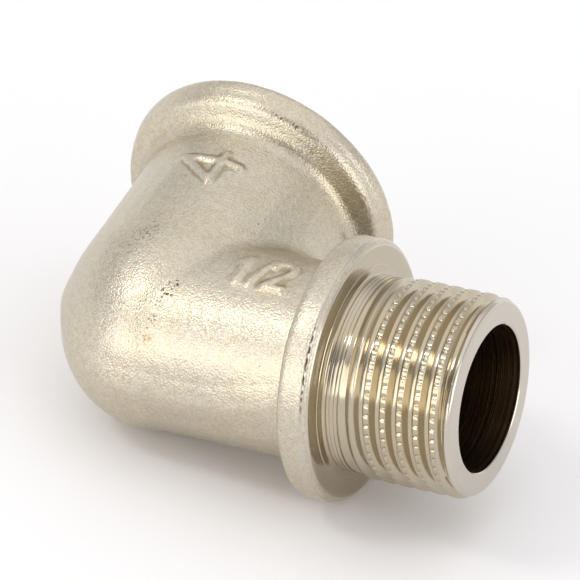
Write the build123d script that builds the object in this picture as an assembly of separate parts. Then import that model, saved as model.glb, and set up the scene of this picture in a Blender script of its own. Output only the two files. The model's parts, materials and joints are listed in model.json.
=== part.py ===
from build123d import *
import os
from math import acos, atan2, cos, degrees, hypot, radians, sin, sqrt, tan

# A forged and turned 90 degree pipe elbow, all in one piece: a flanged male thread on one branch and a
# collared threaded socket on the other. It is drawn with the male axis along X, the female axis along Y
# and the axes crossing at the origin, and is laid down as it comes to rest at the very end.

# Half inch pipe thread, the same on both ports
thread_major_diameter = 20.955
thread_depth = 1.162
thread_pitch = 1.814
thread_crest = 0.42
flank_angle = 27.5

# Reach of each port from the crossing of the axes: the flange's back and the socket's mouth
flange_reach = 19.2
female_reach = 23.6

# Forged body: a neck around the socket that ends in a long dome over the heel, and a slimmer branch
socket_wall = 1.82
neck_taper = 0.35
dome_start = 3.0
dome_turn = 45
heel_cover = 0.35
branch_step = 1.3
branch_taper = 0.05
crotch_fillet = 3.0
parting_step = 0.4

# Flange behind the male thread
flange_step = 3.1
flange_thickness = 3.5
flange_root_fillet = 0.8
flange_back_round = 0.7
flange_face_round = 0.8

# Collar around the socket's mouth, widening from its back edge to the mouth
collar_step = 2.45
collar_widening = 0.75
collar_thickness = 3.4
collar_root_fillet = 1.2
collar_back_round = 0.8
collar_mouth_round = 0.5

# Male end: threaded length with its plain run-out and lead chamfer, and the waterway
thread_length = 14.1
runout_length = 2.4
runout_depth = 0.35
lead_chamfer = 0.8
waterway_diameter = 15.3
waterway_chamfer = 0.1

# Socket: mouth chamfer, threaded wall and plain run at the bottom
socket_depth = 14.5
socket_plain_run = 2.5
mouth_chamfer = 1.5

# Raised size and cavity numbers on the upper half, set back from the flange and the collar
mark_height = 0.4
mark_stroke = 0.6
mark_sink = 0.8
size_mark_height = 4.0
size_mark_width = 2.2
size_mark_spacing = 2.1
size_mark_setback = 6.95
size_mark_lift = 0.3
cavity_mark_height = 6.6
cavity_mark_width = 4.6
cavity_mark_setback = 7.0

# Rounds of settling that find the resting attitude
rest_rounds = 30

major_radius = thread_major_diameter / 2
minor_radius = major_radius - thread_depth
flank_run = thread_depth * tan(radians(flank_angle))
waterway_radius = waterway_diameter / 2

neck_collar_radius = major_radius + socket_wall
neck_radius = neck_collar_radius - neck_taper
branch_knee_radius = neck_radius - branch_step
branch_flange_radius = branch_knee_radius - branch_taper
flange_radius = branch_flange_radius + flange_step
collar_back_radius = neck_collar_radius + collar_step
collar_mouth_radius = collar_back_radius + collar_widening
collar_flare = atan2(collar_widening, collar_thickness)

flange_face = flange_reach + flange_thickness
male_reach = flange_face + thread_length
shoulder = female_reach - collar_thickness
socket_bottom = female_reach - socket_depth
socket_thread_end = socket_bottom + socket_plain_run
size_mark_reach = flange_reach - size_mark_setback
cavity_mark_reach = shoulder - cavity_mark_setback

dome_length = dome_start + branch_knee_radius + heel_cover
dome_slope = tan(radians(dome_turn) / 2)
tip_radius = (neck_radius - dome_length * dome_slope) / (1 - dome_slope)
tip_centre = dome_start - dome_length + tip_radius
flank_offset = (dome_length - tip_radius) / tan(radians(dome_turn))
flank_radius = neck_radius + flank_offset


def rounded(profile, corner, radius):
    """The profile with the corner nearest to that point rounded off."""
    return fillet(profile.vertices().sort_by_distance(Vector(*corner))[0], radius)


def branch_profile():
    """Half section of the male branch, axis along X, ending in a foot inside the flange."""
    foot_radius = flange_radius - flange_back_round
    foot_end = flange_reach + flange_thickness / 2
    outline = Polyline(
        (0, 0),
        (0, branch_knee_radius),
        (flange_reach, branch_flange_radius),
        (flange_reach, foot_radius),
        (foot_end, foot_radius),
        (foot_end, 0),
        close=True,
    )
    return rounded(make_face(outline), (flange_reach, branch_flange_radius), flange_root_fillet)


def neck_profile():
    """Half section of the neck, axis along Y, from the dome's round tip and longer flank to a foot inside
    the collar."""
    foot_radius = collar_back_radius - collar_back_round
    foot_end = shoulder + collar_thickness / 2
    tip = CenterArc((0, tip_centre), tip_radius, -90, 90 - dome_turn)
    flank = CenterArc((-flank_offset, dome_start), flank_radius, -dome_turn, dome_turn)
    outline = Polyline(
        (neck_radius, dome_start),
        (neck_collar_radius, shoulder),
        (foot_radius, shoulder),
        (foot_radius, foot_end),
        (0, foot_end),
        (0, dome_start - dome_length),
    )
    profile = make_face([*tip.edges(), *flank.edges(), *outline.edges()])
    return rounded(profile, (neck_collar_radius, shoulder), collar_root_fillet)


def forged_body():
    """Neck and branch blended at the crotch, in two halves that meet in a crease at the parting plane
    because each half is set towards it by the parting step."""
    whole = revolve(neck_profile(), Axis.Y) + revolve(branch_profile(), Axis.X)
    crotch = whole.edges().filter_by(GeomType.BSPLINE)
    whole = fillet(crotch, crotch_fillet)
    upper = split(Pos(0, 0, -parting_step) * whole, bisect_by=Plane.XY, keep=Keep.TOP)
    return upper + mirror(upper, about=Plane.XY)


def flange():
    """The round flange that seats against the mating face."""
    outline = Polyline(
        (flange_reach, 0),
        (flange_reach, flange_radius),
        (flange_face, flange_radius),
        (flange_face, 0),
        close=True,
    )
    profile = rounded(make_face(outline), (flange_reach, flange_radius), flange_back_round)
    return revolve(rounded(profile, (flange_face, flange_radius), flange_face_round), Axis.X)


def collar():
    """The round collar that stiffens the socket's mouth."""
    outline = Polyline(
        (0, shoulder),
        (collar_back_radius, shoulder),
        (collar_mouth_radius, female_reach),
        (0, female_reach),
        close=True,
    )
    profile = rounded(make_face(outline), (collar_back_radius, shoulder), collar_back_round)
    return revolve(rounded(profile, (collar_mouth_radius, female_reach), collar_mouth_round), Axis.Y)


def ridge_points(start, end, land_radius, root_radius):
    """Points of a threaded outline from start to end along the axis: a land of crest width at each pitch,
    with sloping flanks down to the root between the lands."""
    turns = int((end - start - thread_crest) / thread_pitch)
    points = []
    for turn in range(turns + 1):
        land = start + turn * thread_pitch
        if turn:
            points.append((land - flank_run, root_radius))
        points.append((land, land_radius))
        points.append((land + thread_crest, land_radius))
        if turn < turns:
            points.append((land + thread_crest + flank_run, root_radius))
    return points


def threaded_stub():
    """The turned male end: plain run-out, threaded length and lead chamfer."""
    ridges = ridge_points(lead_chamfer, thread_length - runout_length, major_radius, minor_radius)
    lands = [(male_reach - depth, radius) for depth, radius in reversed(ridges)]
    outline = Polyline(
        (flange_reach, 0),
        (flange_reach, major_radius - runout_depth),
        (lands[0][0] - runout_depth * tan(radians(flank_angle)), major_radius - runout_depth),
        *lands,
        (male_reach, major_radius - lead_chamfer),
        (male_reach, 0),
        close=True,
    )
    return revolve(make_face(outline), Axis.X)


def waterway():
    """The bore from the male end to the knee, turning into the socket through a ball of the same size."""
    mouth = male_reach - waterway_chamfer
    bore = Polyline(
        (0, 0),
        (0, waterway_radius),
        (mouth, waterway_radius),
        (male_reach, waterway_radius + waterway_chamfer),
        (male_reach, 0),
        close=True,
    )
    rise = Polyline(
        (0, 0),
        (waterway_radius, 0),
        (waterway_radius, socket_bottom),
        (0, socket_bottom),
        close=True,
    )
    return revolve(make_face(bore), Axis.X) + revolve(make_face(rise), Axis.Y) + Sphere(waterway_radius)


def socket():
    """The hollow of the female port: mouth chamfer, threaded wall and plain run down to the bottom."""
    wall_start = female_reach - mouth_chamfer
    ridges = ridge_points(0, wall_start - socket_thread_end, minor_radius, major_radius)
    outline = Polyline(
        (0, female_reach),
        (minor_radius + mouth_chamfer, female_reach),
        *[(r, wall_start - depth) for depth, r in ridges],
        (minor_radius, socket_bottom),
        (0, socket_bottom),
        close=True,
    )
    return revolve(make_face(outline), Axis.Y)


def stroke(start, end):
    """One straight raised stroke with round ends."""
    length = hypot(end[0] - start[0], end[1] - start[1])
    turn = degrees(atan2(end[1] - start[1], end[0] - start[0]))
    middle = Pos((start[0] + end[0]) / 2, (start[1] + end[1]) / 2)
    return middle * Rot(0, 0, turn) * SlotCenterToCenter(length, mark_stroke)


def digit_one(width, height):
    return stroke((0, -height / 2), (0, height / 2)) + stroke((-width / 3, height / 4), (0, height / 2))


def slash(width, height):
    return stroke((-width / 3, -height / 2), (width / 3, height / 2))


def digit_two(width, height):
    bow = width / 2
    top = height / 2 - bow
    over = CenterArc((0, top), bow, -30, 200)
    toe = (-bow, -height / 2)
    heel = (bow * cos(radians(-30)), top + bow * sin(radians(-30)))
    return SlotArc(over, mark_stroke) + stroke(heel, toe) + stroke(toe, (bow, -height / 2))


def digit_four(width, height):
    stem = width / 5
    bar = -height / 6
    upright = stroke((stem, -height / 2), (stem, height / 2))
    slope = stroke((stem, height / 2), (-width / 2, bar))
    return upright + slope + stroke((-width / 2, bar), (width / 2, bar))


def raised(mark, skin, root):
    """A mark standing on the upper half, its top on the skin and its foot sunk to the root height."""
    return extrude(Pos(0, 0, root) * mark, amount=collar_mouth_radius - root) & skin


def size_mark():
    """The size number along the top of the male branch."""
    digits = Pos(-size_mark_spacing, 0) * digit_one(size_mark_width, size_mark_height)
    digits += slash(size_mark_width, size_mark_height)
    digits += Pos(size_mark_spacing, 0) * digit_two(size_mark_width, size_mark_height)
    top = branch_flange_radius - parting_step
    skin = Pos(size_mark_reach, 0, -parting_step) * Rot(0, 90, 0)
    skin *= Cylinder(branch_flange_radius + mark_height, flange_reach)
    return raised(Pos(size_mark_reach, size_mark_lift) * digits, skin, top - mark_sink)


def cavity_mark():
    """The cavity number across the top of the neck, by the collar."""
    digit = Rot(0, 0, 90) * digit_four(cavity_mark_width, cavity_mark_height)
    widening = (neck_collar_radius - neck_radius) / (shoulder - dome_start)
    local_radius = neck_radius + widening * (cavity_mark_reach - dome_start)
    skin = Pos(0, cavity_mark_reach, -parting_step) * Rot(90, 0, 0)
    skin *= Cylinder(local_radius + mark_height, cavity_mark_height * 2)
    return raised(Pos(0, cavity_mark_reach) * digit, skin, local_radius - parting_step - mark_sink)


def axis_rise(knee_height, reach, radius, edge_round):
    """Sine of a port axis's rise when the part lies on its knee, at that height under the crossing, and on
    a rounded edge of that port's rim whose rounding is centred at that reach and radius."""
    return sin(acos((knee_height - edge_round) / hypot(reach, radius)) - atan2(reach, radius))


def flange_rise(knee_height):
    """Rise of the male axis over the flange's back edge."""
    reach = flange_reach + flange_back_round
    return axis_rise(knee_height, reach, flange_radius - flange_back_round, flange_back_round)


def collar_rise(knee_height):
    """Rise of the female axis over the lower of the collar's two edges."""
    back_centre = collar_back_radius + collar_back_round * (tan(collar_flare) - 1 / cos(collar_flare))
    mouth_centre = collar_mouth_radius - collar_mouth_round * (tan(collar_flare) + 1 / cos(collar_flare))
    back_rise = axis_rise(knee_height, shoulder + collar_back_round, back_centre, collar_back_round)
    mouth_rise = axis_rise(knee_height, female_reach - collar_mouth_round, mouth_centre, collar_mouth_round)
    return max(back_rise, mouth_rise)


def rest_place(solid):
    """Where the solid lies down: on its knee, flange and collar, over the origin, with the male axis seen
    from above along X. Each round of the loop settles the rises and the knee's height further."""
    male_rise = 0
    female_rise = 0
    for settling in range(rest_rounds):
        upright = sqrt(1 - male_rise**2 - female_rise**2)
        dome_height = flank_radius - flank_offset * sqrt(1 - female_rise**2)
        knee_height = dome_height - dome_start * female_rise - parting_step * upright
        male_rise = flange_rise(knee_height)
        female_rise = collar_rise(knee_height)
    up = Vector(male_rise, female_rise, sqrt(1 - male_rise**2 - female_rise**2))
    along = Vector(1, 0, 0) - up * male_rise
    lying = Plane(origin=(0, 0, 0), x_dir=along, z_dir=up).location.inverse()
    box = (lying * solid).bounding_box()
    return Pos(-box.center().X, -box.center().Y, -box.min.Z) * lying


blank = forged_body() + flange() + collar() + threaded_stub() + size_mark() + cavity_mark()
elbow = blank - waterway() - socket()
rest = rest_place(elbow)

os.makedirs("parts", exist_ok=True)
export_step(rest * elbow, "parts/elbow_body.step")
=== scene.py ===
import json
from math import atan2, cos, hypot, pi, radians, sin

import bmesh
import bpy
from mathutils import Matrix, Vector, geometry, noise


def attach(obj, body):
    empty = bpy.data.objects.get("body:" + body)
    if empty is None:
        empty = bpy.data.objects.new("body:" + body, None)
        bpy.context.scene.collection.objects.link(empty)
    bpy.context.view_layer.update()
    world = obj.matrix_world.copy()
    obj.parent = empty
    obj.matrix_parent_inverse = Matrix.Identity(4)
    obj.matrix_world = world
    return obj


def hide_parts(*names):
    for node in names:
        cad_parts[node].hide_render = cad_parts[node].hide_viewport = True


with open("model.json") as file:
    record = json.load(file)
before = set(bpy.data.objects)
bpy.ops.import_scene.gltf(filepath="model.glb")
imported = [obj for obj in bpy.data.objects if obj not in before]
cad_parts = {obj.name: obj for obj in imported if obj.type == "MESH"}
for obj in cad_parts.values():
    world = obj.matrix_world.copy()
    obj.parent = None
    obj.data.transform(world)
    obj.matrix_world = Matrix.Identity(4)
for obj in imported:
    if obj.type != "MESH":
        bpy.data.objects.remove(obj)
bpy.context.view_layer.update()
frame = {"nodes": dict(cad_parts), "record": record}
scene = bpy.context.scene
cadElbow = frame["nodes"]["elbow_body"]
mm = 0.001

# Port frame: X along the male axis, Y along the female axis, origin where they cross
mounts = {mount["name"]: mount for mount in frame["record"]["mounts"]}
maleAxis = Vector(mounts["male_port"]["axis"]).normalized()
femaleAxis = Vector(mounts["female_port"]["axis"]).normalized()
upAxis = maleAxis.cross(femaleAxis).normalized()
malePoint, femalePoint = (Vector(mounts[port]["pos_m"]) for port in ("male_port", "female_port"))
crossing = geometry.intersect_line_line(
    malePoint, malePoint + maleAxis, femalePoint, femalePoint + femaleAxis)[0]
portFrame = Matrix((maleAxis, femaleAxis, upAxis)).transposed().to_4x4()
portFrame.translation = crossing

# Sizes that several pieces share, in mm, with the reach within which points are merged
portSizes = {"flangeFace": 22.7, "mouth": 23.6, "boreRadius": 7.65, "crestRadius": 10.4775,
             "socketRadius": 9.3155, "pitch": 1.814, "merge": 0.002, "sliver": 0.001}
print("frame loaded, crossing at", tuple(round(c, 5) for c in crossing))


def smoothStep(low, high, value):
    t = min(max((value - low) / (high - low), 0.0), 1.0)
    return t * t * (3 - 2 * t)


def layDown(bm, name, materials):
    # turn the piece from the port frame into the part's frame and give it an object
    bmesh.ops.transform(bm, matrix=portFrame, verts=bm.verts)
    mesh = bpy.data.meshes.new(name)
    bm.to_mesh(mesh)
    bm.free()
    for material in materials:
        mesh.materials.append(material)
    piece = bpy.data.objects.new(name, mesh)
    scene.collection.objects.link(piece)
    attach(piece, "root")
    print("made", name, len(mesh.polygons), "faces")
    return piece


def cadCopy():
    # merged copy of the CAD mesh in the port frame
    bm = bmesh.new()
    bm.from_mesh(cadElbow.data)
    bmesh.ops.transform(bm, matrix=portFrame.inverted(), verts=bm.verts)
    bmesh.ops.remove_doubles(bm, verts=bm.verts, dist=portSizes["merge"] * mm)
    return bm


# Node helpers
def addNode(tree, kind, **settings):
    node = tree.nodes.new(kind)
    for key, value in settings.items():
        setattr(node, key, value)
    return node


def plug(tree, source, target):
    tree.links.new(source, target)


def mathNode(tree, operation, first, second=None, clamp=False):
    node = addNode(tree, "ShaderNodeMath", operation=operation, use_clamp=clamp)
    for socket, value in zip(node.inputs, (first, second)):
        if value is None:
            continue
        if isinstance(value, (int, float)):
            socket.default_value = value
        else:
            plug(tree, value, socket)
    return node.outputs[0]


def rangeNode(tree, value, fromLow, fromHigh, toLow, toHigh):
    node = addNode(tree, "ShaderNodeMapRange", interpolation_type="SMOOTHSTEP")
    plug(tree, value, node.inputs["Value"])
    for key, number in (("From Min", fromLow), ("From Max", fromHigh), ("To Min", toLow), ("To Max", toHigh)):
        node.inputs[key].default_value = number
    return node.outputs["Result"]


def mixColour(tree, factor, first, second, blend="MIX"):
    # inputs 0, 6 and 7 and output 2 are the factor and the colours of a colour mix
    node = addNode(tree, "ShaderNodeMix", data_type="RGBA", blend_type=blend)
    for socket, value in ((node.inputs[0], factor), (node.inputs[6], first), (node.inputs[7], second)):
        if isinstance(value, tuple):
            socket.default_value = (*value, 1)
        elif isinstance(value, (int, float)):
            socket.default_value = value
        else:
            plug(tree, value, socket)
    return node.outputs[2]


def noiseNode(tree, vector, scale, detail=2.0, roughness=0.5):
    node = addNode(tree, "ShaderNodeTexNoise")
    plug(tree, vector, node.inputs["Vector"])
    node.inputs["Scale"].default_value = scale
    node.inputs["Detail"].default_value = detail
    node.inputs["Roughness"].default_value = roughness
    return node.outputs["Fac"]


def newGroup(name, inputs, outputs):
    tree = bpy.data.node_groups.new(name, "ShaderNodeTree")
    for label, kind in inputs:
        tree.interface.new_socket(name=label, in_out="INPUT", socket_type=kind)
    for label, kind in outputs:
        tree.interface.new_socket(name=label, in_out="OUTPUT", socket_type=kind)
    return tree, tree.nodes.new("NodeGroupInput").outputs, tree.nodes.new("NodeGroupOutput").inputs


# Plating: size of its patches, and the stretch of the noise over which the tint changes
plating = {"scale": 140, "detail": 3, "spread": (0.35, 0.65)}


def makePlatingTint():
    # slow drift of the nickel between warm and cool
    tree, given, result = newGroup(
        "platingTint",
        [("Vector", "NodeSocketVector"), ("Warm", "NodeSocketColor"), ("Cool", "NodeSocketColor")],
        [("Colour", "NodeSocketColor")])
    drift = noiseNode(tree, given["Vector"], plating["scale"], plating["detail"])
    share = rangeNode(tree, drift, *plating["spread"], 0, 1)
    plug(tree, mixColour(tree, share, given["Cool"], given["Warm"]), result["Colour"])
    return tree


# Sand: scale and detail of each noise, where pits begin, and shares in the height and the tone
sand = {"fine": (5000, 0.5), "coarse": (1500, 2), "broad": (420, 2),
        "specks": (3300, 1), "strays": (2300, 0.5),
        "speckSpread": (0.56, 0.66), "straySpread": (0.77, 0.87), "strayDepth": 0.5,
        "coarseHeight": 0.4, "broadHeight": 0.4, "fineTone": 0.6, "coarseTone": 0.4}


def makeForgedGrain():
    # sand-like grain of the forged skin, with scattered dark pits
    tree, given, result = newGroup(
        "forgedGrain",
        [("Vector", "NodeSocketVector"), ("Pitting", "NodeSocketFloat")],
        [("Height", "NodeSocketFloat"), ("Tone", "NodeSocketFloat"), ("Pits", "NodeSocketFloat")])
    fine, coarse, broad, specks, strays = (
        noiseNode(tree, given["Vector"], *sand[name])
        for name in ("fine", "coarse", "broad", "specks", "strays"))
    specks = rangeNode(tree, specks, *sand["speckSpread"], 0, 1)
    strays = rangeNode(tree, strays, *sand["straySpread"], 0, sand["strayDepth"])
    pits = mathNode(tree, "MULTIPLY", specks, given["Pitting"], True)
    pits = mathNode(tree, "MAXIMUM", pits, strays)
    height = mathNode(tree, "ADD", fine, mathNode(tree, "MULTIPLY", coarse, sand["coarseHeight"]))
    height = mathNode(tree, "ADD", height, mathNode(tree, "MULTIPLY", broad, sand["broadHeight"]))
    plug(tree, mathNode(tree, "SUBTRACT", height, pits), result["Height"])
    fineTone = mathNode(tree, "MULTIPLY", fine, sand["fineTone"])
    coarseTone = mathNode(tree, "MULTIPLY", coarse, sand["coarseTone"])
    plug(tree, mathNode(tree, "ADD", fineTone, coarseTone), result["Tone"])
    plug(tree, pits, result["Pits"])
    return tree


# Lathe: raggedness of its lines, and the chatter laid over them
lathe = {"detail": 3, "roughness": 0.65, "chatterScale": 700, "chatter": 0.25}


def makeTurningLines():
    # fine lines left by the lathe: around a cylinder at each reach, around a face at each radius
    tree, given, result = newGroup(
        "turningLines",
        [("Vector", "NodeSocketVector"), ("Lines", "NodeSocketFloat")],
        [("Height", "NodeSocketFloat"), ("Tone", "NodeSocketFloat")])
    split = addNode(tree, "ShaderNodeSeparateXYZ")
    plug(tree, given["Vector"], split.inputs[0])
    across = mathNode(tree, "MULTIPLY", split.outputs["Y"], split.outputs["Y"])
    radius = mathNode(tree, "SQRT", mathNode(tree, "ADD", across, mathNode(
        tree, "MULTIPLY", split.outputs["Z"], split.outputs["Z"])))
    along = mathNode(tree, "ADD", split.outputs["X"], radius)
    lines = addNode(tree, "ShaderNodeTexNoise", noise_dimensions="1D")
    plug(tree, mathNode(tree, "MULTIPLY", along, given["Lines"]), lines.inputs["W"])
    lines.inputs["Scale"].default_value = 1
    lines.inputs["Detail"].default_value = lathe["detail"]
    lines.inputs["Roughness"].default_value = lathe["roughness"]
    chatter = noiseNode(tree, given["Vector"], lathe["chatterScale"])
    waver = mathNode(tree, "MULTIPLY", chatter, lathe["chatter"])
    plug(tree, mathNode(tree, "ADD", lines.outputs["Fac"], waver), result["Height"])
    plug(tree, lines.outputs["Fac"], result["Tone"])
    return tree


platingTint = makePlatingTint()
forgedGrain = makeForgedGrain()
turningLines = makeTurningLines()


def newMaterial(name):
    material = bpy.data.materials.new(name)
    material.use_nodes = True
    tree = material.node_tree
    tree.nodes.clear()
    shader = addNode(tree, "ShaderNodeBsdfPrincipled")
    output = addNode(tree, "ShaderNodeOutputMaterial")
    plug(tree, shader.outputs["BSDF"], output.inputs["Surface"])
    coords = addNode(tree, "ShaderNodeTexCoord")
    return material, tree, shader, coords.outputs["Object"]


def addBump(tree, shader, height, strength, distance):
    bump = addNode(tree, "ShaderNodeBump")
    bump.inputs["Strength"].default_value = strength
    bump.inputs["Distance"].default_value = distance
    plug(tree, height, bump.inputs["Height"])
    plug(tree, bump.outputs["Normal"], shader.inputs["Normal"])


def placeGroup(tree, group, **links):
    node = addNode(tree, "ShaderNodeGroup", node_tree=group)
    for key, value in links.items():
        if isinstance(value, tuple):
            node.inputs[key].default_value = (*value, 1)
        elif isinstance(value, (int, float)):
            node.inputs[key].default_value = value
        else:
            plug(tree, value, node.inputs[key])
    return node.outputs


def toPort(tree, vector, turn=None):
    # Object coordinates seen from the port frame, so that patterns centre on an axis
    turned = portFrame @ turn if turn else portFrame
    node = addNode(tree, "ShaderNodeMapping", vector_type="TEXTURE")
    plug(tree, vector, node.inputs["Vector"])
    node.inputs["Location"].default_value = turned.translation
    node.inputs["Rotation"].default_value = turned.to_euler()
    return node.outputs["Vector"]


toneSpread = (0.3, 0.7)  # stretch of a group's tone over which the roughness changes
# forged nickel, with a brown of painted shade for its hollows
forgedLook = {"warm": (0.635, 0.575, 0.46), "cool": (0.605, 0.56, 0.47), "pit": (0.04, 0.032, 0.024),
              "stainAndShade": (0.33, 0.20, 0.065), "paintedShade": (0.30, 0.23, 0.13), "gold": (0.60, 0.49, 0.30),
              "roughness": (0.28, 0.40), "grain": 0.050 * mm,
              "shade": (0.88, 1.05), "shadeSpread": (0.32, 0.68),
              "paintedShadeShare": 0.7, "paintedShadeSpread": (0.5, 1.9), "goldShare": 0.40, "goldSpread": (0.36, 0.60),
              "blotch": (1700, 3, 0.6), "blotchSpread": (0.40, 0.56)}


def makeForgedNickel():
    material, tree, shader, coords = newMaterial("forgedNickel")
    marks = {name: addNode(tree, "ShaderNodeAttribute", attribute_name=name).outputs["Fac"]
             for name in ("pitting", "stainAndShade", "cavity")}
    tint = placeGroup(tree, platingTint, Vector=coords, Warm=forgedLook["warm"], Cool=forgedLook["cool"])
    grain = placeGroup(tree, forgedGrain, Vector=coords, Pitting=marks["pitting"])
    # painted shade: darker and browner in the hollows, most of all around the raised numbers
    hollowShade = rangeNode(tree, marks["cavity"], *forgedLook["paintedShadeSpread"], 0, forgedLook["paintedShadeShare"])
    colour = mixColour(tree, hollowShade, tint["Colour"], forgedLook["paintedShade"])
    thin = rangeNode(tree, grain["Tone"], *forgedLook["goldSpread"], forgedLook["goldShare"], 0)
    colour = mixColour(tree, thin, colour, forgedLook["gold"])
    blotch = noiseNode(tree, coords, *forgedLook["blotch"])
    blotch = rangeNode(tree, blotch, *forgedLook["blotchSpread"], 0, 1)
    # real stains and painted shade by the raised numbers, broken up in blotches
    colour = mixColour(tree, mathNode(tree, "MULTIPLY", marks["stainAndShade"], blotch), colour, forgedLook["stainAndShade"])
    shade = rangeNode(tree, grain["Tone"], *forgedLook["shadeSpread"], *forgedLook["shade"])
    shadeColour = addNode(tree, "ShaderNodeCombineColor")
    for socket in shadeColour.inputs:
        plug(tree, shade, socket)
    colour = mixColour(tree, 1.0, colour, shadeColour.outputs[0], "MULTIPLY")
    colour = mixColour(tree, grain["Pits"], colour, forgedLook["pit"])
    plug(tree, colour, shader.inputs["Base Color"])
    shader.inputs["Metallic"].default_value = 1.0
    roughness = rangeNode(tree, grain["Tone"], *toneSpread, *forgedLook["roughness"])
    plug(tree, roughness, shader.inputs["Roughness"])
    addBump(tree, shader, grain["Height"], 1.0, forgedLook["grain"])
    return material


paintedEdgeColour = (0.05, 0.034, 0.018)  # painted dark reflection along the flange's turned edge
# the thread, run-out and flange face take a darker, browner copy of the faces' nickel: painted shade
shadedTurnedLook = {"warm": (0.51, 0.435, 0.31), "cool": (0.495, 0.44, 0.34), "roughness": (0.08, 0.20),
              "lines": 9000, "lineHeight": 0.004 * mm}
faceLook = {"warm": (0.585, 0.53, 0.455), "cool": (0.57, 0.535, 0.475), "roughness": (0.12, 0.24),
            "lines": 9000, "lineHeight": 0.004 * mm}
# the bore's own brass tone, darkened far below the metal as painted shade deep in the bore
shadedBoreLook = {"warm": (0.34, 0.23, 0.12), "cool": (0.20, 0.14, 0.08), "roughness": (0.20, 0.38),
            "lines": 5000, "lineHeight": 0.02 * mm}


def makeTurned(name, look, turn=None):
    material, tree, shader, coords = newMaterial(name)
    vector = toPort(tree, coords, turn)
    tint = placeGroup(tree, platingTint, Vector=coords, Warm=look["warm"], Cool=look["cool"])
    lines = placeGroup(tree, turningLines, Vector=vector, Lines=look["lines"])
    # painted dark reflection along the flange's edge, read from the male end's points
    paintedShade = addNode(tree, "ShaderNodeAttribute", attribute_name="paintedEdgeLine").outputs["Fac"]
    plug(tree, mixColour(tree, paintedShade, tint["Colour"], paintedEdgeColour), shader.inputs["Base Color"])
    shader.inputs["Metallic"].default_value = 1.0
    roughness = rangeNode(tree, lines["Tone"], *toneSpread, *look["roughness"])
    plug(tree, roughness, shader.inputs["Roughness"])
    addBump(tree, shader, lines["Height"], 1.0, look["lineHeight"])
    return material


socketTurn = Matrix.Rotation(radians(90), 4, "Z")  # X of the turned piece onto the female axis
forgedNickel = makeForgedNickel()
shadedTurnedNickel = makeTurned("shadedTurnedNickel", shadedTurnedLook)
facedNickel = makeTurned("facedNickel", faceLook)
socketNickel = makeTurned("socketNickel", faceLook, socketTurn)
shadedBoreBrass = makeTurned("shadedBoreBrass", shadedBoreLook)
print("materials made")

# Forged body: outer skin of the CAD mesh, remeshed fine and even so that edges soften as on a forging
body = {
    "voxel": 0.25 * mm, "softness": 0.5, "smoothing": 1, "plainSmoothing": 7,
    "wave": 0.03 * mm, "waveScale": 300, "ripple": 0.010 * mm, "rippleScale": 1100,
    "cavityDepth": 0.02 * mm, "cavitySmoothing": 6,
    # parting ridge: height, half width, level, bow of its line on the front, and where it ends
    "ridge": 0.28 * mm, "ridgeWidth": 2.4, "ridgeLevel": 0.5, "bow": 0.0135, "bowDip": 0.13,
    "bowMiddle": 6, "bowEnd": 17, "bowFront": (-6, 7), "ridgeEndX": (16.5, 18.6), "ridgeEndY": (17.0, 19.3),
    # draft on the collar's back
    "shoulderDraft": 0.36, "shoulderRadius": 13.5, "shoulderFrom": (17.5, 19.2), "shoulderTo": (20.9, 22.4),
    # boxes around the raised numbers, in X and Y
    "marksAbove": 8, "markBoxes": [((12.2, 17), (-3.6, 3.6)), ((-5, 5), (9.5, 17))],
    # limits of the faces that the other pieces make or cover
    "innerSlack": 0.005, "innerFrom": -0.1, "boreWithin": 7.95, "kneeWithin": 7.72, "socketWithin": 10.95,
    "coverDepth": 0.15, "flangeCover": 12.4, "mouthCover": 14.3,
    # spots: place, radius and weight, full strength within a share of the radius
    "spotCore": 0.3,
    "pits": [((4.03, -3.45, 9.66), 1.0, 1.0), ((3.6, -4.53, 9.21), 1.1, 1.0), ((3.14, -5.62, 8.63), 0.9, 0.8),
             ((2.9, -7.04, 7.57), 0.8, 0.6), ((-1.67, 1.25, 11.28), 1.8, 0.6),
             ((-1.38, 2.34, 11.45), 1.5, 0.6), ((-2.28, -0.63, 10.85), 1.5, 0.4)],
    # stains: a real brown speck first, then painted shade at the raised 1/2, then a faint broad wash
    "stainsAndShade": [((2.84, -8.52, 5.96), 0.85, 1.0), ((14.56, 0.04, 10.17), 0.8, 0.5),
               ((10.4, -2.06, 10.39), 0.5, 0.5), ((-4.01, -6.15, 7.57), 3.0, 0.06)],
    # row of pits on the collar: distances along and from its axis, angles in degrees, radius and weight
    "rowReach": 20.65, "rowRadius": 14.7, "rowAngles": range(54, 75, 2), "rowSpot": (0.55, 1.0)}


def isInner(face):
    # bore, socket, mouth, flange face and male end, which the other pieces make
    points = [v.co / mm for v in face.verts]
    start, slack = body["innerFrom"], body["innerSlack"]
    return (all(p.x > portSizes["flangeFace"] - slack for p in points)
            or all(p.y > portSizes["mouth"] - slack for p in points)
            or all(p.x > start and hypot(p.y, p.z) < body["boreWithin"] for p in points)
            or all(p.length < body["kneeWithin"] for p in points)
            or all(p.y > start and hypot(p.x, p.z) < body["socketWithin"] for p in points))


def collarRow():
    radius = body["rowRadius"]
    angles = [radians(angle) for angle in body["rowAngles"]]
    return [((radius * cos(a), body["rowReach"], radius * sin(a)), *body["rowSpot"]) for a in angles]


def markAttribute(mesh, name, spots):
    # each spot has its weight in the middle and fades out at its radius
    layer = mesh.attributes.new(name, "FLOAT", "POINT")
    toMm = portFrame.inverted()
    values = []
    for vertex in mesh.vertices:
        p = (toMm @ vertex.co) / mm
        values.append(max(
            weight * (1 - smoothStep(body["spotCore"] * radius, radius, (p - Vector(spot)).length))
            for spot, radius, weight in spots))
    layer.data.foreach_set("value", values)


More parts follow.
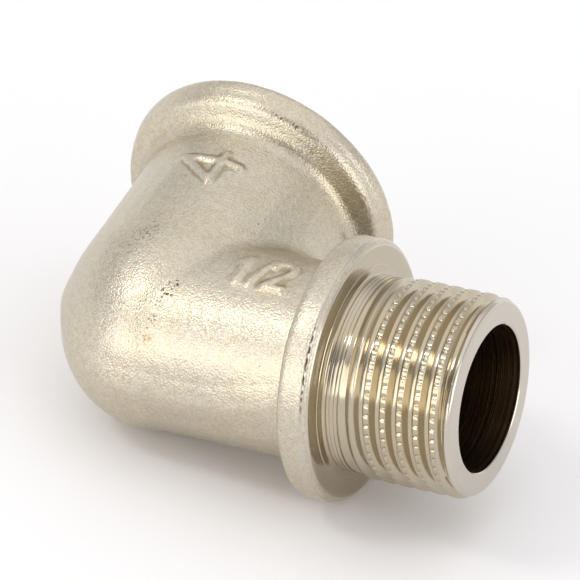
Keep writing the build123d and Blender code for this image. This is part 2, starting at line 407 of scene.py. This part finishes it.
def partingRidge(p):
    # low trimmed ridge where the two halves of the die met, wandering a little
    front = 1 - smoothStep(*body["bowFront"], p.y)
    bow = body["bow"] * (min(p.x, body["bowEnd"]) - body["bowMiddle"]) ** 2 - body["bowDip"]
    middle = body["ridgeLevel"] + bow * front
    clear = (1 - smoothStep(*body["ridgeEndX"], p.x)) * (1 - smoothStep(*body["ridgeEndY"], p.y))
    return body["ridge"] * max(0, 1 - abs(p.z - middle) / body["ridgeWidth"]) * clear


def shoulderSlope(p):
    # draft of the die on the collar's back, around the female axis
    along = smoothStep(*body["shoulderFrom"], p.y) * (1 - smoothStep(*body["shoulderTo"], p.y))
    return body["shoulderDraft"] * mm * (hypot(p.x, p.z) - body["shoulderRadius"]) * along


def onMarks(p):
    # around the two raised numbers, which keep crisper edges
    return p.z > body["marksAbove"] and any(
        left < p.x < right and low < p.y < high for (left, right), (low, high) in body["markBoxes"])


def soften(bm, verts, times):
    for turn in range(times):
        bmesh.ops.smooth_vert(bm, verts=verts, factor=body["softness"],
                              use_axis_x=True, use_axis_y=True, use_axis_z=True)


def markCavities(bm):
    # how far each point sinks below its surroundings, from a smoothed state that is put back
    layer = bm.verts.layers.float.new("cavity")
    bm.normal_update()
    kept = [v.co.copy() for v in bm.verts]
    soften(bm, bm.verts, body["cavitySmoothing"])
    for vertex, place in zip(bm.verts, kept):
        vertex[layer] = max(0, (vertex.co - place).dot(vertex.normal) / body["cavityDepth"])
        vertex.co = place


def makeForgedBody():
    bm = cadCopy()
    bmesh.ops.delete(bm, geom=[f for f in bm.faces if isInner(f)], context="FACES")
    bmesh.ops.holes_fill(bm, edges=[e for e in bm.edges if e.is_boundary], sides=0)
    bmesh.ops.recalc_face_normals(bm, faces=bm.faces)
    rough = bpy.data.meshes.new("forgedRough")
    bm.to_mesh(rough)
    bm.free()
    blank = bpy.data.objects.new("forgedRough", rough)
    scene.collection.objects.link(blank)
    remesh = blank.modifiers.new("evenSkin", "REMESH")
    remesh.mode = "VOXEL"
    remesh.voxel_size = body["voxel"]
    even = bpy.data.meshes.new_from_object(blank.evaluated_get(bpy.context.evaluated_depsgraph_get()))
    bpy.data.objects.remove(blank)
    bm = bmesh.new()
    bm.from_mesh(even)
    bpy.data.meshes.remove(even)
    plain = [v for v in bm.verts if not onMarks(v.co / mm)]
    soften(bm, bm.verts, body["smoothing"])
    soften(bm, plain, body["plainSmoothing"])
    bm.normal_update()
    for vertex in bm.verts:
        lift = body["wave"] * noise.noise(vertex.co * body["waveScale"])
        lift += body["ripple"] * noise.noise(vertex.co * body["rippleScale"])
        vertex.co += vertex.normal * (lift + partingRidge(vertex.co / mm))
        vertex.co.y += shoulderSlope(vertex.co / mm)
    markCavities(bm)
    covered = []
    for face in bm.faces:
        centre = face.calc_center_median() / mm
        onFlange = centre.x > portSizes["flangeFace"] - body["coverDepth"]
        onMouth = centre.y > portSizes["mouth"] - body["coverDepth"]
        if (onFlange and hypot(centre.y, centre.z) < body["flangeCover"]
                or onMouth and hypot(centre.x, centre.z) < body["mouthCover"]):
            covered.append(face)
    bmesh.ops.delete(bm, geom=covered, context="FACES")
    for face in bm.faces:
        face.smooth = True
    piece = layDown(bm, "forgedBody", [forgedNickel])
    markAttribute(piece.data, "pitting", body["pits"] + collarRow())
    markAttribute(piece.data, "stainAndShade", body["stainsAndShade"])
    return piece


forgedBody = makeForgedBody()


def spinLine(bm, verts, steps, axis=(1, 0, 0), angle=2 * pi, advance=0, merge=False):
    # join the points to a line and spin it around an axis through the crossing
    edges = [bm.edges.new(pair) for pair in zip(verts, verts[1:])]
    bmesh.ops.spin(bm, geom=verts + edges, cent=(0, 0, 0), axis=axis, dvec=(advance, 0, 0), angle=angle,
                   steps=steps, use_merge=merge, use_normal_flip=False, use_duplicate=False)


def spinRings(bm, points, columns):
    # plain turned surface through the given reach and radius points
    spinLine(bm, [bm.verts.new((x, r, 0)) for x, r in points], columns, merge=True)


def screwStrip(bm, settings, shape):
    # a profile that repeats each pitch, spun one turn while it moves on by one pitch, then shaped
    pitch, columns = portSizes["pitch"], settings["columns"]
    spare = 2  # turns past the ends, which are pressed flat into them
    turns = int((settings["end"] - settings["start"]) / pitch) + spare + 1
    first = settings["crestAt"] + int((settings["start"] - settings["crestAt"]) / pitch - spare) * pitch
    before = set(bm.verts)
    line = []
    for turn in range(turns):
        for offset, height in settings["profile"]:
            line.append(bm.verts.new((first + turn * pitch + offset, 1 + height, 0)))
    spinLine(bm, line, columns, advance=pitch / columns)
    for vertex in [v for v in bm.verts if v not in before]:
        angle = atan2(vertex.co.z, vertex.co.y) % (2 * pi)
        height = hypot(vertex.co.y, vertex.co.z) - 1
        x = min(max(vertex.co.x, settings["start"]), settings["end"])
        radius = shape(x, angle, height)
        vertex.co = (x, radius * cos(angle), radius * sin(angle))


def mergeShell(bm):
    bmesh.ops.remove_doubles(bm, verts=bm.verts, dist=portSizes["merge"])
    bmesh.ops.dissolve_degenerate(bm, edges=bm.edges, dist=portSizes["sliver"])
    bmesh.ops.recalc_face_normals(bm, faces=bm.faces)
    for face in bm.faces:
        face.smooth = True


hardAngle = radians(38)  # turned edges sharper than this stay crisp


def closeTurned(bm, name, materials, outward, turn=None):
    # merge the strips, face the shell outwards and set hard edges
    mergeShell(bm)
    probe = max(bm.faces, key=lambda f: f.calc_center_median().dot(outward))
    if probe.normal.dot(outward) < 0:
        bmesh.ops.reverse_faces(bm, faces=bm.faces)
    for edge in bm.edges:
        if len(edge.link_faces) == 2 and edge.calc_face_angle() > hardAngle:
            edge.smooth = False
    bmesh.ops.transform(bm, matrix=Matrix.Scale(mm, 4), verts=bm.verts)
    if turn:
        bmesh.ops.transform(bm, matrix=turn, verts=bm.verts)
    return layDown(bm, name, materials)


# Male end: flange face, run-out, notched right-hand thread, rounded lead, end face and bore lip
maleEnd = {
    "columns": 456, "start": 24.62, "end": 36.45, "crestAt": 27.009,
    "depth": 0.85, "crestFlat": (0.985, 1.0),
    "runoutRadius": 10.19, "blankRise": (24.7, 26.6), "cutIn": (24.62, 27.0),
    "leadRadius": 10.1, "leadFade": (35.8, 36.35),
    "notchDepth": 0.17, "notchIn": (26.6, 26.9), "notchOut": (35.5, 35.7),
    "notchShape": (0, 0.04, 0.12, 0.5, 1, 0.85, 0.15, 0),
    # offset along the axis and height of one thread
    "profile": [(-0.30, 0.92), (-0.25, 0.985), (-0.17, 1.0), (0.17, 1.0), (0.25, 0.985), (0.30, 0.92),
                (0.60, 0.14), (0.67, 0.04), (0.77, 0.0), (1.044, 0.0), (1.144, 0.04), (1.214, 0.14)],
    # reach and radius, over the chamfered rim and the face to the lines of the run-out
    "flange": [(21.74, 13.5), (21.78, 13.735), (21.95, 13.735), (22.05, 13.71), (22.12, 13.65),
               (22.17, 13.60), (22.23, 13.54), (22.60, 13.17), (22.67, 13.07), (22.72, 12.9),
               (22.72, 12.0), (22.72, 11.24), (22.79, 11.16), (22.80, 10.7), (22.83, 10.44),
               (22.90, 10.26), (23.02, 10.18), (23.28, 10.18), (23.34, 10.23), (23.41, 10.18),
               (23.60, 10.16), (23.66, 10.21), (23.74, 10.16), (24.06, 10.15), (24.13, 10.21),
               (24.22, 10.16), (24.50, 10.16), (24.62, 10.19)],
    # reach and radius, over the rounded lip and the end face into the bore
    "tip": [(36.45, 10.1), (36.58, 10.04), (36.68, 9.95), (36.75, 9.83), (36.79, 9.70), (36.8, 9.6),
            (36.8, 9.5), (36.8, 8.7), (36.8, 7.75), (36.7, 7.65)],
    # where the faced rim and lip begin, and where the rim is still forged
    "rimRadius": 13.05, "forgedRimTo": 22.03, "lipFrom": 36.3,
    # painted dark reflection line on the flange's edge: reach, angles in degrees, and how it breaks up
    "edgeLineReach": (22.0, 22.2), "edgeLineAngles": (114, 168), "edgeLineFade": 18,
    "edgeLineScale": 2.2, "edgeLineBreaks": (-0.15, 0.2), "edgeLineLift": 0.35, "edgeLineDrop": 0.2}


def maleThread(x, angle, height):
    rise = portSizes["crestRadius"] - maleEnd["runoutRadius"]
    blank = maleEnd["runoutRadius"] + smoothStep(*maleEnd["blankRise"], x) * rise
    radius = blank - maleEnd["depth"] * (1 - height) * smoothStep(*maleEnd["cutIn"], x)
    column = round(angle / (2 * pi) * maleEnd["columns"])
    notch = maleEnd["notchShape"][column % len(maleEnd["notchShape"])] * maleEnd["notchDepth"]
    notch *= smoothStep(*maleEnd["notchIn"], x) * (1 - smoothStep(*maleEnd["notchOut"], x))
    radius -= notch * smoothStep(*maleEnd["crestFlat"], height)
    lead = smoothStep(*maleEnd["leadFade"], x)  # the thread dies out in the rounded lip
    return radius + (maleEnd["leadRadius"] - radius) * lead


def paintedEdgeLine(bm):
    # broken dark line painted along the flange's turned edge as a dark reflection
    layer = bm.verts.layers.float.new("paintedEdgeLine")
    (near, far), (first, last) = maleEnd["edgeLineReach"], maleEnd["edgeLineAngles"]
    for vertex in bm.verts:
        angle = atan2(vertex.co.z, vertex.co.y) * 180 / pi
        if near < vertex.co.x < far and first < angle < last:
            fade = smoothStep(0, maleEnd["edgeLineFade"], min(angle - first, last - angle))
            patch = noise.noise(vertex.co * maleEnd["edgeLineScale"]) + maleEnd["edgeLineLift"] * fade
            vertex[layer] = smoothStep(*maleEnd["edgeLineBreaks"], patch - maleEnd["edgeLineDrop"]) * fade


def makeMaleEnd():
    bm = bmesh.new()
    spinRings(bm, maleEnd["flange"], maleEnd["columns"])
    spinRings(bm, maleEnd["tip"], maleEnd["columns"])
    screwStrip(bm, maleEnd, maleThread)
    paintedEdgeLine(bm)
    materials = [shadedTurnedNickel, facedNickel, forgedNickel]
    for face in bm.faces:
        centre = face.calc_center_median()
        rim = hypot(centre.y, centre.z) > maleEnd["rimRadius"]
        finish = facedNickel if rim or centre.x > maleEnd["lipFrom"] else shadedTurnedNickel
        if rim and centre.x < maleEnd["forgedRimTo"]:
            finish = forgedNickel
        face.material_index = materials.index(finish)
    return closeTurned(bm, "turnedMaleEnd", materials, Vector((1, 0, 0)))


turnedMaleEnd = makeMaleEnd()

# Socket: flat mouth, chamfer, right-hand thread and plain run
socket = {
    "columns": 180, "start": 11.6, "end": 22.1, "crestAt": 12.4, "depth": 1.05,
    "cutIn": (11.6, 12.6), "cutOut": (21.9, 22.1),
    "profile": [(-0.26, 0.95), (-0.2, 1.0), (0.2, 1.0), (0.26, 0.95),
                (0.66, 0.08), (0.75, 0.0), (1.064, 0.0), (1.154, 0.08)],
    "mouth": [(23.48, 14.98), (23.62, 14.86), (23.62, 12.6), (23.62, 10.82), (22.86, 10.07), (22.1, 9.3155)],
    "floor": [(11.6, 9.3155), (10.4, 9.3155), (9.1, 9.3155), (9.1, 8.4), (9.1, 7.55)]}


def socketThread(x, angle, height):
    fade = smoothStep(*socket["cutIn"], x) * (1 - smoothStep(*socket["cutOut"], x))
    return portSizes["socketRadius"] + socket["depth"] * (1 - height) * fade


def makeSocket():
    bm = bmesh.new()
    spinRings(bm, socket["mouth"], socket["columns"])
    spinRings(bm, socket["floor"], socket["columns"])
    screwStrip(bm, socket, socketThread)
    return closeTurned(bm, "turnedSocket", [socketNickel], Vector((1, 0, 0)), socketTurn)


turnedSocket = makeSocket()

# Waterway: two equal bores that meet in a mitre, with a quarter ball behind them
lining = {"columns": 144, "riseReach": 9.1, "boreReaches": (36.7, 24.0, 12.0, 0.0), "slack": 0.01}


def makeWaterway():
    radius, columns, slack = portSizes["boreRadius"], lining["columns"], lining["slack"]
    bm = bmesh.new()
    spinRings(bm, [(lining["riseReach"], radius), (0, radius)], columns)
    for vertex in bm.verts:
        if vertex.co.x < slack:
            vertex.co.x = max(0, -vertex.co.y)
    bmesh.ops.transform(bm, matrix=socketTurn, verts=bm.verts)
    rise = set(bm.verts)
    spinRings(bm, [(reach, radius) for reach in lining["boreReaches"]], columns)
    for vertex in bm.verts:
        if vertex not in rise and vertex.co.x < slack:
            vertex.co.x = max(0, vertex.co.y)
    bores = set(bm.verts)
    quarter = columns // 4
    angles = [2 * pi * step / columns for step in range(-quarter, quarter + 1)]
    arc = [bm.verts.new((0, -radius * cos(a), radius * sin(a))) for a in angles]
    spinLine(bm, arc, quarter, axis=(0, 0, 1), angle=pi / 2)
    for vertex in bm.verts:
        if vertex not in bores:
            vertex.co.x = -abs(vertex.co.x)
    mergeShell(bm)
    towardsPorts = Vector((1, 1, 0))
    knee = min(bm.faces, key=lambda f: f.calc_center_median().dot(towardsPorts))
    if knee.normal.dot(towardsPorts) < 0:  # the wall faces the water
        bmesh.ops.reverse_faces(bm, faces=bm.faces)
    for edge in bm.edges:  # the mitre stays crisp
        edge.smooth = not all(abs(v.co.x - v.co.y) < slack and v.co.x > -slack for v in edge.verts)
    bmesh.ops.transform(bm, matrix=Matrix.Scale(mm, 4), verts=bm.verts)
    return layDown(bm, "waterway", [shadedBoreBrass])


waterway = makeWaterway()
for piece in (forgedBody, turnedMaleEnd, turnedSocket, waterway):
    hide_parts("elbow_body")

# Stage: pale floor that turns plain white away from the part, and stays greyer close to it as a painted
# shadow pool
stage = {"size": 3.0, "colour": (0.94, 0.93, 0.94), "near": (0.034, 0.095), "roughness": 0.9, "gloss": 0.1}


def makeFloor():
    bm = bmesh.new()
    bmesh.ops.create_grid(bm, x_segments=1, y_segments=1, size=stage["size"])
    mesh = bpy.data.meshes.new("floor")
    bm.to_mesh(mesh)
    bm.free()
    material, tree, shader, coords = newMaterial("paleFloor")
    shader.inputs["Base Color"].default_value = (*stage["colour"], 1)
    shader.inputs["Roughness"].default_value = stage["roughness"]
    shader.inputs["Specular IOR Level"].default_value = stage["gloss"]
    distance = addNode(tree, "ShaderNodeVectorMath", operation="LENGTH")
    plug(tree, coords, distance.inputs[0])
    # the glow is held back near the part: painted shadow around the floor's real shadow
    far = rangeNode(tree, distance.outputs["Value"], *stage["near"], 0, 1)
    white = addNode(tree, "ShaderNodeEmission")
    white.inputs["Strength"].default_value = 1.0
    blend = addNode(tree, "ShaderNodeMixShader")
    plug(tree, far, blend.inputs[0])
    plug(tree, shader.outputs["BSDF"], blend.inputs[1])
    plug(tree, white.outputs[0], blend.inputs[2])
    plug(tree, blend.outputs[0], next(n for n in tree.nodes if n.type == "OUTPUT_MATERIAL").inputs["Surface"])
    mesh.materials.append(material)
    floor = bpy.data.objects.new("floor", mesh)
    scene.collection.objects.link(floor)


makeFloor()

# Lights: directions to each lamp from the part, in degrees left of -Y and above the floor
lamps = [
    {"name": "frontPanel", "left": 22, "rise": 14, "distance": 0.6, "size": (0.48, 0.42), "radiance": 1.45,
     "colour": (1.0, 0.985, 0.95)},
    {"name": "rightPanel", "left": -70, "rise": 21, "distance": 0.7, "size": (0.50, 0.40), "radiance": 1.5,
     "colour": (1.0, 0.99, 0.97)},
    {"name": "topLamp", "left": 51, "rise": 50, "distance": 0.8, "size": (0.14, 0.14), "radiance": 12.0,
     "colour": (1.0, 0.97, 0.92)},
]
lampAim = Vector((0, 0, 0.012))  # near the middle of the part


def direction(left, rise):
    left, rise = radians(left), radians(rise)
    return Vector((-sin(left) * cos(rise), -cos(left) * cos(rise), sin(rise)))


def makeLamp(lamp):
    data = bpy.data.lights.new(lamp["name"], "AREA")
    data.shape = "RECTANGLE"
    data.size, data.size_y = lamp["size"]
    data.energy = lamp["radiance"] * pi * data.size * data.size_y
    data.color = lamp["colour"]
    away = direction(lamp["left"], lamp["rise"])
    obj = bpy.data.objects.new(lamp["name"], data)
    obj.location = away * lamp["distance"] + lampAim
    obj.rotation_euler = away.to_track_quat("Z", "Y").to_euler()
    scene.collection.objects.link(obj)


for lamp in lamps:
    makeLamp(lamp)

# Sky: bright at the horizon and overhead, with a dark room behind the camera
sky = {"horizon": (1.15, 1.15, 1.15), "middle": (0.72, 0.72, 0.73), "zenith": (1.15, 1.15, 1.16),
       "horizonFade": (0.10, 0.34), "zenithFade": (0.5, 0.95),
       "cameraSide": (0.36, 0.35, 0.34), "cameraLeft": -16, "cameraRise": 34, "cameraFade": (0.86, 0.97)}


def makeSky():
    world = bpy.data.worlds.new("studio")
    scene.world = world
    world.use_nodes = True
    tree = world.node_tree
    tree.nodes.clear()
    coords = addNode(tree, "ShaderNodeTexCoord")
    split = addNode(tree, "ShaderNodeSeparateXYZ")
    plug(tree, coords.outputs["Generated"], split.inputs[0])
    low = rangeNode(tree, split.outputs["Z"], *sky["horizonFade"], 0, 1)
    high = rangeNode(tree, split.outputs["Z"], *sky["zenithFade"], 0, 1)
    colour = mixColour(tree, low, sky["horizon"], sky["middle"])
    colour = mixColour(tree, high, colour, sky["zenith"])
    side = addNode(tree, "ShaderNodeVectorMath", operation="DOT_PRODUCT")
    plug(tree, coords.outputs["Generated"], side.inputs[0])
    side.inputs[1].default_value = direction(sky["cameraLeft"], sky["cameraRise"])
    dark = rangeNode(tree, side.outputs["Value"], *sky["cameraFade"], 0, 1)
    colour = mixColour(tree, dark, colour, sky["cameraSide"])
    shade = addNode(tree, "ShaderNodeBackground")
    plug(tree, colour, shade.inputs["Color"])
    output = addNode(tree, "ShaderNodeOutputWorld")
    plug(tree, shade.outputs[0], output.inputs["Surface"])


makeSky()

# Camera at the photograph's angle, given in the port frame
view = {"place": (0.22431, -0.35494, 0.32955), "right": (0.89699, 0.42796, -0.11072),
        "upward": (-0.18760, 0.59534, 0.78127), "lens": 319.66, "sensor": 36, "nearest": 0.01}


def makeCamera():
    right = Vector(view["right"]).normalized()
    back = right.cross(Vector(view["upward"])).normalized()
    upward = back.cross(right)
    pose = Matrix((right, upward, back)).transposed().to_4x4()
    pose.translation = Vector(view["place"])
    data = bpy.data.cameras.new("camera")
    data.sensor_width = view["sensor"]
    data.lens = view["lens"]
    data.clip_start = view["nearest"]
    camera = bpy.data.objects.new("camera", data)
    camera.matrix_world = portFrame @ pose
    scene.collection.objects.link(camera)
    scene.camera = camera


makeCamera()
scene.view_settings.view_transform = "Standard"
print("stage set")
